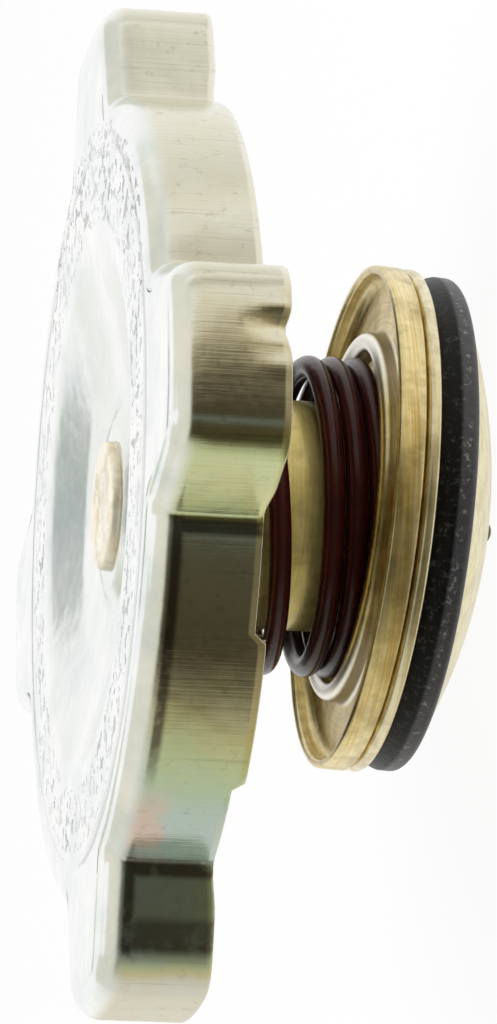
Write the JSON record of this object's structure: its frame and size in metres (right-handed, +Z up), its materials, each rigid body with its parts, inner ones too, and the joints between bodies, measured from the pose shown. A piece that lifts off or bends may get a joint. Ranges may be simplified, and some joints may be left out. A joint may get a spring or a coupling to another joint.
{
  "type": "radiator pressure cap",
  "caption": "Lobed steel pressure cap for a radiator filler neck, with a neck gasket, a sprung brass pressure valve with a rubber ring, and a small vacuum valve.",
  "frame": {"origin": "on the cap's axis, in the plane of the neck gasket's lower face", "axes": "+Z up through the top face; the spring and the valve hang below; +X is the way the valve droops"},
  "size_m": [0.0772, 0.0772, 0.0315],
  "materials": {
    "plated_steel": "satin",
    "rivet_copper": "satin",
    "brass": "satin",
    "rubber": "matte",
    "lacquered_wire": "gloss",
    "spring_wire": "satin"
  },
  "bodies": {
    "cap": {"cap_shell": "plated_steel", "centre_rivet": "rivet_copper", "rivet_washer": "brass", "diaphragm_disc": "brass", "neck_gasket": "rubber"},
    "guide": {"spring_guide": "brass", "pressure_spring": "lacquered_wire"},
    "seat": {"seat_washer": "brass"},
    "valve": {"valve_dish": "brass", "backing_plate": "brass", "seal_ring": "rubber", "valve_cover": "brass", "vacuum_spring": "spring_wire"},
    "vacuum": {"vacuum_disc": "brass", "vacuum_seal": "rubber", "vacuum_stem": "brass", "vacuum_clip": "brass"}
  },
  "joints": [
    {"name": "plunger_swivel", "type": "hinge", "parent": "cap", "child": "guide", "pos_m": [0, 0, 0], "axis": [0, 0, 1], "continuous": true},
    {"name": "valve_lift", "type": "slide", "parent": "guide", "child": "seat", "axis": [0, 0, 1], "range_m": [0, 0.0015], "stiffness_N_per_m": 2000, "springref_m": -0.001, "deforming": ["pressure_spring"]},
    {"name": "valve_rock", "type": "hinge", "parent": "seat", "child": "valve", "pos_m": [0, 0, -0.01666], "axis": [0, 1, 0], "range_deg": [-7, 0], "stiffness_Nm_per_rad": 0.05},
    {"name": "vacuum_open", "type": "slide", "parent": "valve", "child": "vacuum", "axis": [-0.061, 0, -0.9981], "range_m": [0, 0.0013], "stiffness_N_per_m": 60, "springref_m": -0.003, "deforming": ["vacuum_spring"]}
  ]
}
